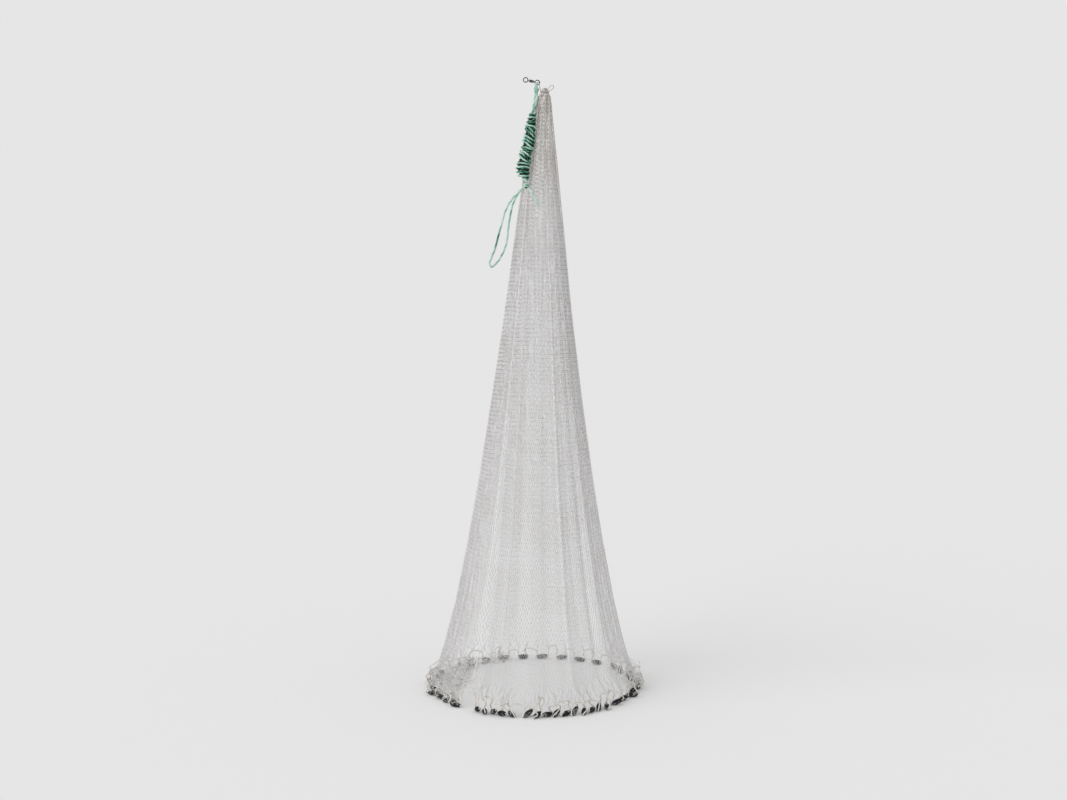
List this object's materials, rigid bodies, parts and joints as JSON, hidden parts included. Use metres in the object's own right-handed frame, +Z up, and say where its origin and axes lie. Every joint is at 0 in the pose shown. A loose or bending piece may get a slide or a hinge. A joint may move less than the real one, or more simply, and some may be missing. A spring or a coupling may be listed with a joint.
{
  "type": "cast net",
  "caption": "Conical cast net of clear knotted mesh hung by its crown, with a sinker-weighted hem spread in a ring, a barrel swivel and a wound green hand line.",
  "frame": {"origin": "underside of the top of the hanging loop, where a hook bears", "axes": "+Z up along the hanging net, +X to the right seen from the front, -Y to the front where the hand line hangs"},
  "size_m": [0.507, 0.5002, 1.4037],
  "materials": {
    "netting": "clear white nylon netting",
    "clear_cord": "clear nylon cord",
    "line": "off-white braided line",
    "lead": "dull dark grey",
    "swivel_metal": "dark burnished",
    "green_rope": "soft laid rope"
  },
  "bodies": {
    "net": {"net_gore_1": "netting", "net_gore_2": "netting", "net_gore_3": "netting", "net_gore_4": "netting", "net_gore_5": "netting", "net_gore_6": "netting", "crown_cord": "clear_cord", "swivel_tied_eye": "swivel_metal", "rope_lead": "green_rope", "rope_hank": "green_rope", "rope_knot": "green_rope", "rope_hand_loop": "green_rope", "rope_tail": "green_rope", "lead_line": "line", "sinker_01": "lead", "sinker_02": "lead", "sinker_03": "lead", "sinker_04": "lead", "sinker_05": "lead", "sinker_06": "lead", "sinker_07": "lead", "sinker_08": "lead", "sinker_09": "lead", "sinker_10": "lead", "sinker_11": "lead", "sinker_12": "lead", "sinker_13": "lead", "sinker_14": "lead", "sinker_15": "lead", "sinker_16": "lead", "sinker_17": "lead", "sinker_18": "lead", "sinker_19": "lead", "sinker_20": "lead", "sinker_21": "lead", "sinker_22": "lead", "sinker_23": "lead", "sinker_24": "lead", "sinker_25": "lead", "sinker_26": "lead", "sinker_27": "lead", "sinker_28": "lead", "sinker_29": "lead", "sinker_30": "lead", "sinker_31": "lead", "sinker_32": "lead", "sinker_33": "lead", "sinker_34": "lead", "sinker_35": "lead", "sinker_36": "lead", "sinker_37": "lead", "sinker_38": "lead", "sinker_39": "lead", "sinker_40": "lead", "sinker_41": "lead", "sinker_42": "lead", "sinker_43": "lead", "sinker_44": "lead"},
    "barrel": {"swivel_barrel": "swivel_metal"},
    "free_eye": {"swivel_free_eye": "swivel_metal"}
  },
  "joints": [
    {"name": "barrel_spin", "type": "hinge", "parent": "net", "child": "barrel", "pos_m": [-0.04659, 0, 0.00989], "axis": [-0.9769, 0, 0.2138], "continuous": true},
    {"name": "free_eye_spin", "type": "hinge", "parent": "barrel", "child": "free_eye", "pos_m": [-0.05978, 0, 0.01277], "axis": [-0.9769, 0, 0.2138], "continuous": true}
  ]
}
